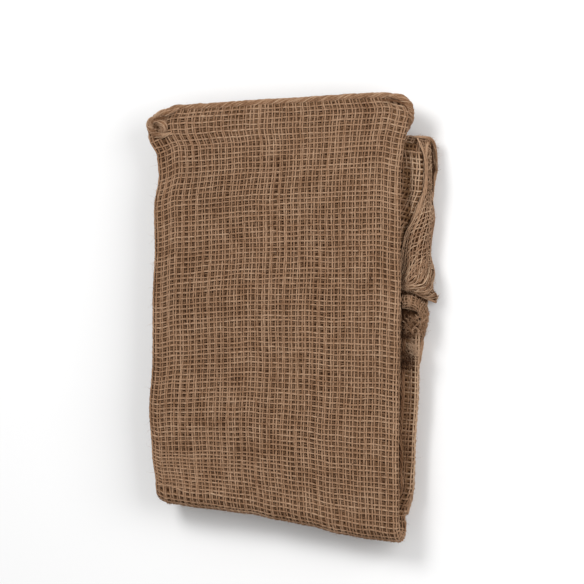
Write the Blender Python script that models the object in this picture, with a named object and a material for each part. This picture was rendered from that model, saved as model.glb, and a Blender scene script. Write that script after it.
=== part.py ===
"""Hessian sack, sewn from one cut of open jute cloth and folded in thirds both ways.

The sack lies on its back: X to the right, Y towards its sewn end, Z up out of its
front face. Units are metres. The cloth is one hollow solid with an open mouth. Its
two seams, bound over with thick yarn, are a solid each.
"""

from math import cos, pi, sin

import bmesh
import bpy
from mathutils import Vector

# Cloth and folds
CLOTH = 0.0012
LAYER_PITCH = 0.00205
LAYERS = 6
STRIP_THICKNESS = (LAYERS - 1) * LAYER_PITCH + CLOTH
STRIP_GAP = 0.00075
STRIP_PITCH = STRIP_THICKNESS + STRIP_GAP
TURN_RADIUS = STRIP_PITCH / 2
BACK_HEIGHT = STRIP_THICKNESS / 2
MIDDLE_HEIGHT = BACK_HEIGHT + STRIP_PITCH
FRONT_HEIGHT = MIDDLE_HEIGHT + STRIP_PITCH
TOP_HEIGHT = FRONT_HEIGHT + STRIP_THICKNESS / 2

# Seams
SEAM_RADIUS = 0.0013
SEAM_GAP = 0.0003
SEAM_SIDES = 8
SEAM_START = 0.004

# Mesh divisions
TURN_STEPS = 6
EDGE_STEPS = 4
ACROSS_STEPS = 5
ROUND_STEPS = 7

# Folds across the strip, in the order in which the cloth runs through its six
# layers. Layer 0 is the top one. The wall of a fold faces outwards where the
# outside of the sack is on the outside of the bend.
ACROSS_FOLDS = (
    # from layer, to layer, side, wall of the sack's outside
    (0, 3, "right", 1),
    (3, 4, "left", -1),
    (4, 5, "right", 1),
    (5, 2, "left", 1),
    (2, 1, "right", -1),
    (1, 0, "left", 1),
)

# Left and right edges of the folded strip along its three runs. A run goes from one
# whole number to the next: front run 0 to 1, middle run 1 to 2, back run 2 to 3.
STRIP_EDGES = (
    # run position, left edge, right edge
    (0.00, -0.1040, 0.0975),
    (0.03, -0.1085, 0.1024),
    (0.06, -0.1072, 0.1002),
    (0.10, -0.1004, 0.0972),
    (0.16, -0.0990, 0.0956),
    (0.24, -0.1032, 0.0960),
    (0.36, -0.1026, 0.0955),
    (0.50, -0.1050, 0.0950),
    (0.65, -0.1047, 0.0942),
    (0.81, -0.1075, 0.0936),
    (0.92, -0.1058, 0.0938),
    (1.00, -0.1027, 0.0940),
    (1.04, -0.1015, 0.0925),
    (1.10, -0.1010, 0.1003),
    (1.22, -0.1020, 0.1014),
    (1.37, -0.1002, 0.1042),
    (1.55, -0.0985, 0.1050),
    (1.75, -0.0995, 0.1052),
    (1.90, -0.0972, 0.1082),
    (2.00, -0.0955, 0.1125),
    (2.04, -0.0960, 0.1138),
    (2.10, -0.0974, 0.1112),
    (2.14, -0.0985, 0.1100),
    (2.19, -0.0990, 0.1114),
    (2.27, -0.0998, 0.1066),
    (2.35, -0.0985, 0.1080),
    (2.42, -0.0970, 0.1062),
    (2.52, -0.0965, 0.1030),
    (2.64, -0.0980, 0.0970),
    (2.88, -0.0957, 0.0952),
    (2.95, -0.0950, 0.0945),
    (3.00, -0.0945, 0.0905),
)

# How far the sewn selvedges lie inside the strip's right edge, along the runs. They
# stand out a little at the top of the middle run, and slip under the front run below.
SELVEDGE_SET_BACKS = (
    # run position, set-back
    (0.00, 0.0030),
    (0.10, 0.0052),
    (1.00, 0.0055),
    (1.10, 0.0100),
    (1.37, 0.0130),
    (1.72, 0.0128),
    (1.80, 0.0093),
    (1.85, 0.0031),
    (1.90, -0.0020),
    (1.95, -0.0006),
    (2.00, 0.0027),
    (2.14, 0.0030),
    (3.00, 0.0030),
)

# Ends of the runs, from the left edge to the right edge
SEWN_END = (
    # across, y
    (0.00, 0.1520),
    (0.04, 0.1550),
    (0.09, 0.1592),
    (0.50, 0.1630),
    (0.92, 0.1667),
    (1.00, 0.1630),
)
BOTTOM_FOLD = (
    # across, y
    (0.00, -0.1235),
    (0.04, -0.1272),
    (0.19, -0.1304),
    (0.38, -0.1341),
    (0.50, -0.1384),
    (0.62, -0.1421),
    (0.75, -0.1481),
    (0.87, -0.1514),
    (1.00, -0.1536),
)
TOP_FOLD = (
    # across, y
    (0.00, 0.1290),
    (0.10, 0.1350),
    (0.60, 0.1300),
    (0.90, 0.1264),
    (1.00, 0.1240),
)
MOUTH_END = (
    # across, y
    (0.00, -0.1240),
    (0.40, -0.1330),
    (0.75, -0.1390),
    (1.00, -0.1455),
)
RUN_ENDS = (SEWN_END, BOTTOM_FOLD, TOP_FOLD, MOUTH_END)

# Swells and dips of the top face, as shares of the height
SWELLS = (
    # x, y, reach, share of the height
    (-0.060, 0.100, 0.045, 0.050),
    (0.050, 0.060, 0.060, 0.030),
    (-0.055, -0.085, 0.050, -0.060),
    (0.020, -0.095, 0.040, 0.035),
    (0.085, -0.020, 0.045, -0.040),
    (0.095, 0.165, 0.040, -0.130),
    (-0.020, 0.170, 0.060, -0.060),
    (0.060, -0.165, 0.055, -0.070),
)

CLOTH_COLOUR = (0.205, 0.117, 0.068, 1.0)
SEAM_COLOUR = (0.265, 0.160, 0.098, 1.0)
JUTE_ROUGHNESS = 0.95

RUN_STOPS = {
    0: (0.0, 0.03, 0.06, 0.10, 0.16, 0.24, 0.36, 0.50, 0.65, 0.81, 0.92, 1.0),
    1: (0.04, 0.10, 0.22, 0.37, 0.55, 0.72, 0.80, 0.85, 0.90, 0.95, 1.0),
    2: (0.04, 0.10, 0.14, 0.19, 0.27, 0.35, 0.42, 0.52, 0.72, 0.95, 1.0),
}


def smooth_between(table, position, column):
    """Value of a table's column at a position, along a smooth curve through its rows."""
    rows = list(table)
    if position <= rows[0][0]:
        return rows[0][column]
    if position >= rows[-1][0]:
        return rows[-1][column]
    after = next(i for i, row in enumerate(rows) if row[0] >= position)
    start, end = rows[after - 1], rows[after]
    share = (position - start[0]) / (end[0] - start[0])
    eased = share * share * (3 - 2 * share)
    return start[column] + (end[column] - start[column]) * (0.5 * share + 0.5 * eased)


def swell(x, y):
    """Share by which the pack is higher or lower than its even height at a place."""
    total = 0.0
    for centre_x, centre_y, reach, share in SWELLS:
        distance = ((x - centre_x) ** 2 + (y - centre_y) ** 2) ** 0.5
        if distance < reach * 2:
            total += share * (0.5 + 0.5 * cos(pi * distance / (reach * 2)))
    return total


def folded(run, angle, x, depth, beyond=0.0):
    """Place of a point of the strip after it is folded lengthwise.

    run is the run position, angle the turn made so far round the fold that the run
    ends in, depth the height above the strip's middle on the front run, and beyond
    a distance past the end of the run.
    """
    index = min(int(run), 2)
    share = run - index
    left, right, _ = strip_sides(run)
    across = min(max((x - left) / (right - left), 0.0), 1.0)
    start = smooth_between(RUN_ENDS[index], across, 1)
    end = smooth_between(RUN_ENDS[index + 1], across, 1)
    y = start + (end - start) * share
    heights = (FRONT_HEIGHT, MIDDLE_HEIGHT, BACK_HEIGHT)
    upward = (1, -1, 1)[index]
    z = heights[index] + upward * depth
    if angle > 0:
        radius = TURN_RADIUS + upward * depth
        centre = (heights[index] + heights[index + 1]) / 2
        y = end - upward * radius * sin(angle)
        z = centre + radius * cos(angle)
    y += beyond
    return Vector((x, y, z * (1 + swell(x, y))))


def layer_depth(layer):
    """Height of a layer above the middle of the strip."""
    return ((LAYERS - 1) / 2 - layer) * LAYER_PITCH


def strip_sides(run):
    """Left edge, right edge and set-back of the selvedges at a run position."""
    left, right = (smooth_between(STRIP_EDGES, run, column) for column in (1, 2))
    return left, right, smooth_between(SELVEDGE_SET_BACKS, run, 1)


def bend(fold, sides, offset):
    """Points of one fold across the strip, from one layer to the next."""
    start, end, side, wall = fold
    left, right, set_back = sides
    top, bottom = layer_depth(start), layer_depth(end)
    middle = (top + bottom) / 2
    radius = abs(top - bottom) / 2 + wall * offset
    outward = 1 if side == "right" else -1
    at_selvedge = {start, end} in ({4, 5}, {0, 1})
    reach = LAYER_PITCH / 2 if at_selvedge else 1.5 * LAYER_PITCH
    if side == "right" and at_selvedge:
        reach += set_back
    centre = (right if side == "right" else left) - outward * (reach + CLOTH / 2)
    steps = EDGE_STEPS if at_selvedge else TURN_STEPS
    direction = 1 if top > bottom else -1
    for step in range(steps + 1):
        turn = pi * step / steps
        yield centre + outward * radius * sin(turn), middle + direction * radius * cos(turn)


def section(sides, offset):
    """Closed loop of the flattened tube, folded in three across the strip.

    offset is the distance of the wall from the middle of the cloth, towards the
    outside of the sack. The loop starts at the middle of the left selvedge.
    """
    bends = [list(bend(fold, sides, offset)) for fold in ACROSS_FOLDS]
    last = bends[-1]
    half = EDGE_STEPS // 2
    loop = last[half:]
    for points in bends[:-1] + [last[:half + 1]]:
        start, end = Vector(loop[-1]), Vector(points[0])
        loop += [tuple(start.lerp(end, i / ACROSS_STEPS)) for i in range(1, ACROSS_STEPS)]
        loop += points
    return loop[:-1]


def stations():
    """Run positions and turning angles of the rows of the mesh, from the sewn end."""
    for index, stops in RUN_STOPS.items():
        for stop in stops:
            yield index + stop - (1e-9 if stop == 1.0 and index < 2 else 0.0), 0.0
        if index < 2:
            for step in range(1, ROUND_STEPS):
                yield index + 1 - 1e-9, pi * step / ROUND_STEPS
            yield index + 1 + 1e-9, 0.0


def add_row(mesh, run, angle, offset, beyond=0.0):
    """One closed row of vertices round the tube."""
    loop = section(strip_sides(run), offset)
    return [mesh.verts.new(folded(run, angle, x, depth, beyond)) for x, depth in loop]


def join_rows(mesh, one, two):
    """Band of quads between two rows."""
    count = len(one)
    for i in range(count):
        mesh.faces.new((one[i], one[(i + 1) % count], two[(i + 1) % count], two[i]))


def close_row(mesh, row):
    """Ladder of faces between the two cloths of a row."""
    half = len(row) // 2
    mesh.faces.new((row[0], row[1], row[-1]))
    for i in range(1, half - 1):
        mesh.faces.new((row[i], row[i + 1], row[-i - 1], row[-i]))
    mesh.faces.new((row[half - 1], row[half], row[half + 1]))


def make_material(name, colour):
    """Matt jute in one colour."""
    material = bpy.data.materials.new(name)
    material.use_nodes = True
    shader = material.node_tree.nodes["Principled BSDF"]
    shader.inputs["Base Color"].default_value = colour
    shader.inputs["Roughness"].default_value = JUTE_ROUGHNESS
    shader.inputs["Metallic"].default_value = 0.0
    return material


def finish_object(mesh, name, material):
    """Object from a bmesh, with its faces pointing out and smooth."""
    bmesh.ops.recalc_face_normals(mesh, faces=mesh.faces)
    for face in mesh.faces:
        face.smooth = True
    data = bpy.data.meshes.new(name)
    mesh.to_mesh(data)
    mesh.free()
    data.materials.append(material)
    thing = bpy.data.objects.new(name, data)
    bpy.context.scene.collection.objects.link(thing)
    return thing


def make_cloth(material):
    """The sack: a wall round both cloths, closed at the sewn end, open at the mouth."""
    mesh = bmesh.new()
    rows = list(stations())
    outer = [add_row(mesh, run, angle, CLOTH / 2) for run, angle in rows]
    first = add_row(mesh, rows[0][0], 0.0, -CLOTH / 2, -CLOTH)
    inner = [first] + [add_row(mesh, run, angle, -CLOTH / 2) for run, angle in rows[1:]]
    for wall in (outer, inner):
        for one, two in zip(wall, wall[1:]):
            join_rows(mesh, one, two)
        close_row(mesh, wall[0])
    join_rows(mesh, outer[-1], inner[-1])
    return finish_object(mesh, "sack_cloth", material)


def make_tube(name, path, radius, material):
    """Round bar with flat ends along a path."""
    mesh = bmesh.new()
    rings = []
    side = None
    for i, point in enumerate(path):
        before, after = path[max(i - 1, 0)], path[min(i + 1, len(path) - 1)]
        along = (after - before).normalized()
        reference = side if side is not None else Vector((0, 0, 1)).cross(along)
        side = (reference - along * reference.dot(along)).normalized()
        up = along.cross(side)
        angles = [2 * pi * k / SEAM_SIDES for k in range(SEAM_SIDES)]
        places = [point + radius * (cos(a) * side + sin(a) * up) for a in angles]
        rings.append([mesh.verts.new(place) for place in places])
    for one, two in zip(rings, rings[1:]):
        join_rows(mesh, one, two)
    mesh.faces.new(rings[0])
    mesh.faces.new(rings[-1])
    return finish_object(mesh, name, material)


def make_bottom_seam(material):
    """Bound seam that closes the sack's bottom, along the folded edge of both cloths."""
    loop = section(strip_sides(0.0), 0.0)
    half = len(loop) // 2
    lift = SEAM_RADIUS + SEAM_GAP
    path = []
    for i in range(1, half):
        x = (loop[i][0] + loop[-i][0]) / 2
        depth = (loop[i][1] + loop[-i][1]) / 2
        path.append(folded(0.0, 0.0, x, depth, lift))
    return make_tube("bottom_seam", path, SEAM_RADIUS, material)


def make_side_seam(material):
    """Bound seam that closes the sack's side, along the open selvedges."""
    depth = (layer_depth(4) + layer_depth(5)) / 2
    path = []
    for run, angle in list(stations())[1:]:
        right, set_back = strip_sides(run)[1:]
        x = right - set_back + SEAM_GAP + SEAM_RADIUS
        path.append(folded(run, angle, x, depth))
    return make_tube("side_seam", path, SEAM_RADIUS, material)


def centre_over_origin(things):
    """Move the meshes so that the middle of their plan is over the origin."""
    places = [vertex.co for thing in things for vertex in thing.data.vertices]
    for axis in (0, 1):
        values = [place[axis] for place in places]
        middle = (min(values) + max(values)) / 2
        for place in places:
            place[axis] -= middle


def main():
    for thing in list(bpy.data.objects):
        bpy.data.objects.remove(thing, do_unlink=True)
    cloth = make_material("jute_cloth", CLOTH_COLOUR)
    yarn = make_material("jute_seam_yarn", SEAM_COLOUR)
    things = [make_cloth(cloth), make_bottom_seam(yarn), make_side_seam(yarn)]
    centre_over_origin(things)


main()
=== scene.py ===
"""Looks of a folded hessian sack: its woven yarns, seams and loose fibres."""

from collections import namedtuple

import bpy
import numpy as np
from mathutils import Matrix, Vector


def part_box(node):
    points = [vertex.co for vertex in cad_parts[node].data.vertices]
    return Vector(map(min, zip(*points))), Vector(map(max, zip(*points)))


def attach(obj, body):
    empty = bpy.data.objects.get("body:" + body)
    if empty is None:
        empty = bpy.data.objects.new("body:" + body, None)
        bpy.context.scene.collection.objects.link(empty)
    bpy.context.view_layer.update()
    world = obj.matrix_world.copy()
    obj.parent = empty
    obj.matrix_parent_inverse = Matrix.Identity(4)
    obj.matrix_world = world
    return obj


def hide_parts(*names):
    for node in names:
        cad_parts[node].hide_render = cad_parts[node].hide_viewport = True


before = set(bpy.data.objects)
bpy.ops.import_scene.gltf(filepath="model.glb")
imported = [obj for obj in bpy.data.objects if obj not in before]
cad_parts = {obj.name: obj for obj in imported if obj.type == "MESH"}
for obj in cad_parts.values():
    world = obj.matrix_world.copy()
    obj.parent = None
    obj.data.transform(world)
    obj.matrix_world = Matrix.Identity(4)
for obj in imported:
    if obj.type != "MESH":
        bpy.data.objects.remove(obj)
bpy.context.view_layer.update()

# ---- cloth and folds, in metres
CLOTH = 0.0012
LAYER_PITCH = 0.00205
LAYERS = 6
STRIP_THICKNESS = (LAYERS - 1) * LAYER_PITCH + CLOTH
STRIP_GAP = 0.00075
STRIP_PITCH = STRIP_THICKNESS + STRIP_GAP
TURN_RADIUS = STRIP_PITCH / 2
HEIGHTS = np.array([2.0, 1.0, 0.0]) * STRIP_PITCH + STRIP_THICKNESS / 2
TOP_HEIGHT = HEIGHTS[0] + STRIP_THICKNESS / 2

# Folds across the strip: from layer, to layer, side (1 is the right one), wall of the
# sack's outside, reach in layers, and 1 where the selvedges' set-back counts
ACROSS_FOLDS = (
    (0, 3, 1, 1, 1.5, 0), (3, 4, -1, -1, 1.5, 0), (4, 5, 1, 1, 0.5, 1),
    (5, 2, -1, 1, 1.5, 0), (2, 1, 1, -1, 1.5, 0), (1, 0, -1, 1, 0.5, 0),
)

# Edges of the folded strip along its three runs: run position, left, right
STRIP_EDGES = np.array((
    (0.00, -0.1040, 0.0975), (0.03, -0.1085, 0.1024), (0.06, -0.1072, 0.1002),
    (0.10, -0.1004, 0.0972), (0.16, -0.0990, 0.0956), (0.24, -0.1032, 0.0960),
    (0.36, -0.1026, 0.0955), (0.50, -0.1050, 0.0950), (0.65, -0.1047, 0.0942),
    (0.81, -0.1075, 0.0936), (0.92, -0.1058, 0.0938), (1.00, -0.1027, 0.0940),
    (1.04, -0.1015, 0.0925), (1.10, -0.1010, 0.1003), (1.22, -0.1020, 0.1014),
    (1.37, -0.1002, 0.1042), (1.55, -0.0985, 0.1050), (1.75, -0.0995, 0.1052),
    (1.90, -0.0972, 0.1082), (2.00, -0.0955, 0.1125), (2.04, -0.0960, 0.1138),
    (2.10, -0.0974, 0.1112), (2.14, -0.0985, 0.1100), (2.19, -0.0990, 0.1114),
    (2.27, -0.0998, 0.1066), (2.35, -0.0985, 0.1080), (2.42, -0.0970, 0.1062),
    (2.52, -0.0965, 0.1030), (2.64, -0.0980, 0.0970), (2.88, -0.0957, 0.0952),
    (2.95, -0.0950, 0.0945), (3.00, -0.0945, 0.0905),
))

# How far the sewn selvedges lie inside the right edge: run position, set-back
SELVEDGE_SET_BACKS = np.array((
    (0.00, 0.0030), (0.10, 0.0052), (1.00, 0.0055), (1.10, 0.0100), (1.37, 0.0130),
    (1.72, 0.0128), (1.80, 0.0093), (1.85, 0.0031), (1.90, -0.0020), (1.95, -0.0006),
    (2.00, 0.0027), (2.14, 0.0030), (3.00, 0.0030),
))

# Ends of the runs: share across from the left edge, y
RUN_ENDS = [np.array(rows) for rows in (
    ((0.00, 0.1520), (0.04, 0.1550), (0.09, 0.1592), (0.50, 0.1630), (0.92, 0.1667),
     (1.00, 0.1630)),
    ((0.00, -0.1235), (0.04, -0.1272), (0.19, -0.1304), (0.38, -0.1341), (0.50, -0.1384),
     (0.62, -0.1421), (0.75, -0.1481), (0.87, -0.1514), (1.00, -0.1536)),
    ((0.00, 0.1290), (0.10, 0.1350), (0.60, 0.1300), (0.90, 0.1264), (1.00, 0.1240)),
    ((0.00, -0.1240), (0.40, -0.1330), (0.75, -0.1390), (1.00, -0.1455)),
)]

# Swells and dips of the pack: x, y, reach, share of the height
SWELLS = (
    (-0.060, 0.100, 0.045, 0.050), (0.050, 0.060, 0.060, 0.030),
    (-0.055, -0.085, 0.050, -0.060), (0.020, -0.095, 0.040, 0.035),
    (0.085, -0.020, 0.045, -0.040), (0.095, 0.165, 0.040, -0.130),
    (-0.020, 0.170, 0.060, -0.060), (0.060, -0.165, 0.055, -0.070),
)

# Dent in the top of the middle run beside the front run: x, reach, depth, the y between
# which it runs, and the length of its soft ends
DENT = (0.0970, 0.0058, 0.0044, -0.125, 0.128, 0.02)

# Painted shade and painted light on the yarns across the middle run: darker deep in that crease,
# paler out to its right edge
CREASE_SHADE_AND_LIGHT = np.array(((0.0900, -0.08), (0.0950, -0.09), (0.0985, 0.13), (0.1010, 0.22)))

# Soft ripples of the upper layers: wave length, direction in degrees, phase, height
RIPPLES = (
    (0.061, 24.0, 0.4, 0.00045), (0.043, 118.0, 2.1, 0.00030),
    (0.094, 70.0, 1.3, 0.00055), (0.029, -35.0, 4.0, 0.00014),
)

# Lengths of the 13 stretches round the tube, its bends and the straight layers between
# them, and of the stages along it
STRAIGHT = 0.1915
STRETCH_LENGTHS = np.full(13, STRAIGHT)
STRETCH_LENGTHS[::2] = np.array((0.25, 1.5, 0.5, 0.5, 1.5, 0.5, 0.25)) * np.pi * LAYER_PITCH
STAGE_LENGTHS = np.array((0.3000, 0.0355, 0.2700, 0.0355, 0.2650))

# Camera, turned from the front face towards the right side, and the pixel of the
# fold map's own origin
CAMERA_TURN = np.radians(22.0)
CAMERA_DISTANCE = 4.0
IMAGE_SIZE = 584
PIXELS_A_METRE = 1330.0
SHARP_HEIGHT = 0.018
SENSOR = 36.0
PICTURE_ORIGIN = np.array((297.1, 320.3))

# ---- yarns
WARP_PITCH = 0.00274
WEFT_PITCH = 0.00386
PITCH_ERROR = 0.055
PAIR_SHIFT = 0.00040
WARP_RADIUS = 0.00065
WEFT_RADIUS = 0.00066
FLATNESS = 0.72
STRAND_FLATNESS = 0.9
CRIMP = 0.00036
YARN_LIFT = 0.00030
BASE_SETBACK = -0.00072
BASE_THICKNESS = 0.00025
SHEET_THICKNESS = 0.0004
SHEET_UV_STEP = 0.004
YARN_UV_SCALE = 100

# Stages of the first and last weft, and of the outermost crossings
END_WEFTS = (0.0015, 4.9975)
STAGE_LIMITS = (0.0015, 4.999)

# Slow and quick drift of the warps and of the wefts, and the slow bend of the wefts
WARP_DRIFT = (0.00019, 0.00008)
WEFT_DRIFT = (0.00027, 0.00011)
WEFT_BEND = 0.0012
SWELLING = 0.10

# How far the wefts of the front run sag at its left edge: share of the run, sag
WEFT_SAG = np.array(((0.0, 0.0), (0.25, 0.010), (0.60, 0.016), (0.86, 0.013), (1.0, 0.0)))

# Tones: mean and spread of the warps and of the wefts, slow and quick changes along a
# yarn, and the painted light and shade that make a yarn paler where it lies on top and
# darker where it dips under
YARN_TONES = ((-0.025, 0.030), (0.015, 0.028))
SLOW_TONE = 0.025
QUICK_TONE = 0.045
CRIMP_LIGHT_AND_SHADE = 0.040

# The lower weave, seen through the gaps of the upper one, its yarns darker with painted shade
UNDER_SIZE = 0.72
UNDER_SHADE = -0.14
UNDER_LIFT = -0.00034
UNDER_CRIMP = 0.00008
UNDER_WANDER = 0.0008

MILLIMETRE = 0.001
UP = np.array((0.0, 0.0, 1.0))
rng = np.random.default_rng(11)


# ---- small tools
def ease(share):
    """A share with a soft start and end."""
    return share * share * (3 - 2 * share)


def unit(vectors):
    return vectors / (np.linalg.norm(vectors, axis=-1, keepdims=True) + 1e-12)


def totals(lengths):
    """Running totals of lengths, from nothing on."""
    return np.concatenate([[0], np.cumsum(lengths)])


def lengths_along(path):
    return totals(np.linalg.norm(np.diff(path, axis=0), axis=1))


def stations(start, *legs):
    """Positions from a start on, in legs with an end and a count of steps each."""
    places = []
    for end, count in legs:
        places.append(np.linspace(start, end, count, endpoint=False))
        start = end
    return np.append(np.concatenate(places), start)


def spread(start, end, count):
    """Middles of equal steps from a start to an end."""
    return start + (end - start) * (np.arange(count) + 0.5) / count


def checker(rows, columns):
    """1 and -1 in turn, both ways."""
    return 1 - 2 * (np.add.outer(np.arange(rows), np.arange(columns)) % 2)


def wander(count, length, step, size):
    """Rows of smooth random values, each with a new value every step along it."""
    knots = max(int(np.ceil(length / step)) + 2, 4)
    values = rng.normal(0, size, (count, knots))
    where = np.linspace(0, knots - 1.001, max(int(length), 2))
    low = np.floor(where).astype(int)
    share = ease(where - low)
    return values[:, low] * (1 - share) + values[:, low + 1] * share


def wave(path, step, size):
    """Smooth random values, one for each point of a path."""
    return wander(1, len(path), step, size)[0]


def refine(points, axis, steps):
    """Smooth curve through points, with steps between each two, along one axis."""
    points = np.moveaxis(np.asarray(points, float), axis, 0)
    padded = np.concatenate([[2 * points[0] - points[1]], points, [2 * points[-1] - points[-2]]])
    places = np.linspace(0, len(points) - 1, (len(points) - 1) * steps + 1)
    start = np.minimum(places.astype(int), len(points) - 2)
    share = (places - start).reshape(-1, *(1,) * (points.ndim - 1))
    p0, p1, p2, p3 = (padded[start + k] for k in range(4))
    curve = 0.5 * (2 * p1 + (p2 - p0) * share + (2 * p0 - 5 * p1 + 4 * p2 - p3) * share ** 2
                   + (3 * p1 - p0 - 3 * p2 + p3) * share ** 3)
    return np.moveaxis(curve, 0, axis)


def resample(path, count):
    """Points evenly spaced along a path, and their shares of its length."""
    length = lengths_along(path)
    share = np.linspace(0, 1, count)
    places = share * length[-1]
    return np.stack([np.interp(places, length, path[:, k]) for k in range(3)], -1), share


# ---- fold map
def from_table(table, position, column):
    """Values of a table's column at an array of positions, along a smooth curve."""
    keys = table[:, 0]
    position = np.clip(position, keys[0], keys[-1])
    after = np.clip(np.searchsorted(keys, position), 1, len(keys) - 1)
    share = (position - keys[after - 1]) / (keys[after] - keys[after - 1])
    start, end = table[after - 1, column], table[after, column]
    return start + (end - start) * (share + ease(share)) / 2


def swell(x, y):
    """Share by which the pack is higher or lower than its even height."""
    total = np.zeros(np.shape(x))
    for centre_x, centre_y, reach, share in SWELLS:
        distance = np.minimum(np.hypot(x - centre_x, y - centre_y) / (reach * 2), 1.0)
        total += share * (0.5 + 0.5 * np.cos(np.pi * distance))
    return total


def ripple(x, y):
    """Height of the soft ripples in the upper layers."""
    total = np.zeros(np.shape(x))
    for length, direction, phase, height in RIPPLES:
        angle = np.radians(direction)
        along = x * np.cos(angle) + y * np.sin(angle)
        total += height * np.sin(2 * np.pi * along / length + phase)
    return total


def dent(x, y):
    """Depth of the dent beside the front run."""
    centre, reach, depth, low, high, soft = DENT
    across = np.clip(1 - ((x - centre) / reach) ** 2, 0, 1)
    return depth * across * np.clip(np.minimum(y - low, high - y) / soft, 0, 1)


def strip_edges(stage):
    """Left edge, right edge and set-back of the selvedges at a stage of the folds."""
    run = np.interp(stage, range(6), (0, 1, 1, 2, 2, 3))
    left, right = from_table(STRIP_EDGES, run, 1), from_table(STRIP_EDGES, run, 2)
    return left, right, from_table(SELVEDGE_SET_BACKS, run, 1)


def fold_strip(stage, x, depth):
    """Places of points of the strip after it is folded lengthwise.

    A stage from 0 to 1 is the front run, 1 to 2 the bottom fold, 2 to 3 the middle
    run, 3 to 4 the top fold and 4 to 5 the back run.
    """
    leg = np.clip(np.floor(stage), 0, 4).astype(int)
    share = stage - leg
    index = leg // 2
    turning = leg % 2 == 1
    left, right, _ = strip_edges(stage)
    across = np.clip((x - left) / (right - left), 0, 1)
    ends = [from_table(table, across, 1) for table in RUN_ENDS]
    start, end = np.choose(index, ends), np.choose(index + 1, ends)
    upward = np.where(index == 1, -1, 1)
    radius = TURN_RADIUS + upward * depth
    middle = (HEIGHTS[index] + HEIGHTS[np.minimum(index + 1, 2)]) / 2
    angle = np.pi * share
    y = np.where(turning, end - upward * radius * np.sin(angle), start + (end - start) * share)
    z = np.where(turning, middle + radius * np.cos(angle), HEIGHTS[index] + upward * depth)
    z = z - np.where(leg == 2, dent(x, y) * np.clip(z / STRIP_PITCH - 1, 0, 1), 0)
    z = z * (1 + swell(x, y)) + ripple(x, y) * np.clip(z / TOP_HEIGHT, 0, 1) ** 2
    return np.stack([x, y, z], -1)


def layer_depth(layer):
    """Height of a layer above the middle of the strip."""
    return ((LAYERS - 1) / 2 - layer) * LAYER_PITCH


def bend_point(fold, share, left, right, set_back, offset):
    """Place round one fold across the strip: x and depth."""
    start, end, side, wall, reach, back = fold
    top, bottom = layer_depth(start), layer_depth(end)
    reach = reach * LAYER_PITCH + back * set_back
    centre = (right if side > 0 else left) - side * (reach + CLOTH / 2)
    radius = abs(top - bottom) / 2 + wall * offset
    x = centre + side * radius * np.sin(np.pi * share)
    return x, (top + bottom) / 2 + np.sign(top - bottom) * radius * np.cos(np.pi * share)


def round_tube(position, left, right, set_back, offset):
    """Point round the flattened tube: x and depth.

    Odd whole stretches of position are straight layers and even ones are folds. The
    first and last stretch, 0 to 1 and 12 to 13, are the two halves of the left
    selvedge. offset is the distance from the cloth's middle, outwards.
    """
    position = np.mod(position, 13.0)
    stretch = np.floor(position).astype(int)
    places = np.zeros((2, *np.shape(position)))
    for number in range(13):
        here = stretch == number
        sides = [np.broadcast_to(value, here.shape)[here]
                 for value in (left, right, set_back, offset)]
        part = position[here] - number
        fold = ACROSS_FOLDS[number // 2 - 1]
        if number % 2 == 1:
            start = np.stack(bend_point(fold, 1.0, *sides))
            end = np.stack(bend_point(ACROSS_FOLDS[number // 2], 0.0, *sides))
            places[:, here] = start + (end - start) * part
            continue
        if number in (0, 12):
            part = (part + (number == 0)) / 2
        places[:, here] = bend_point(fold, part, *sides)
    return places


def on_cloth(position, stage, offset):
    """Places of points at a position round the tube and a stage along it."""
    x, depth = round_tube(position, *strip_edges(stage), offset)
    return fold_strip(stage, x, depth) + SHIFT


def cad_shift():
    """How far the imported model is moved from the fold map's own axes."""
    position, stage = np.meshgrid(np.linspace(0, 13, 390), np.linspace(0, 5, 501)[:-1])
    x, depth = round_tube(position, *strip_edges(stage), CLOTH / 2)
    places = fold_strip(stage, x, depth).reshape(-1, 3)
    low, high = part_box("sack_cloth")
    shift = (np.array(low) + np.array(high) - places.min(0) - places.max(0)) / 2
    return shift * (1, 1, 0)


def at_pixel(points):
    """Places of rows of a pixel across, a pixel down and a height in millimetres."""
    points = np.asarray(points, float)
    height = points[..., 2] * MILLIMETRE
    across = (points[..., 0] - PICTURE_ORIGIN[0]) / PIXELS_A_METRE
    x = (across + height * np.sin(CAMERA_TURN)) / np.cos(CAMERA_TURN)
    y = (PICTURE_ORIGIN[1] - points[..., 1]) / PIXELS_A_METRE
    return np.stack([x, y, height], -1) + SHIFT


SHIFT = cad_shift()


# ---- meshes
def new_object(name, data):
    thing = bpy.data.objects.new(name, data)
    bpy.context.scene.collection.objects.link(thing)
    return thing


def make_mesh(name, vertices, faces, uv=None, tone=None):
    """Smooth object from arrays, with optional UVs by vertex and a tone by vertex."""
    data = bpy.data.meshes.new(name)
    faces = np.asarray(faces)
    data.vertices.add(len(vertices))
    data.vertices.foreach_set("co", np.asarray(vertices, np.float32).ravel())
    data.loops.add(faces.size)
    data.loops.foreach_set("vertex_index", faces.ravel().astype(np.int32))
    data.polygons.add(len(faces))
    starts = np.arange(0, faces.size, faces.shape[1], dtype=np.int32)
    data.polygons.foreach_set("loop_start", starts)
    data.update(calc_edges=True)
    data.validate()
    data.polygons.foreach_set("use_smooth", np.ones(len(data.polygons), bool))
    if uv is not None:
        layer = data.uv_layers.new(name="UVMap")
        layer.data.foreach_set("uv", np.asarray(uv, np.float32)[faces.ravel()].ravel())
    if tone is not None:
        attribute = data.attributes.new("tone", "FLOAT", "POINT")
        attribute.data.foreach_set("value", np.asarray(tone, np.float32))
    return new_object(name, data)


def finish_piece(thing, material, node):
    """Material and body of a piece; the solid of its node is hidden."""
    thing.data.materials.append(material)
    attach(thing, "root")
    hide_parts(node)
    return thing


def bridge(low, high):
    """Faces between closed rows of vertices."""
    ahead = [np.roll(row, -1, axis=-1) for row in (low, high)]
    return np.stack([low, *ahead, high], -1).reshape(-1, 4)


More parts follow.
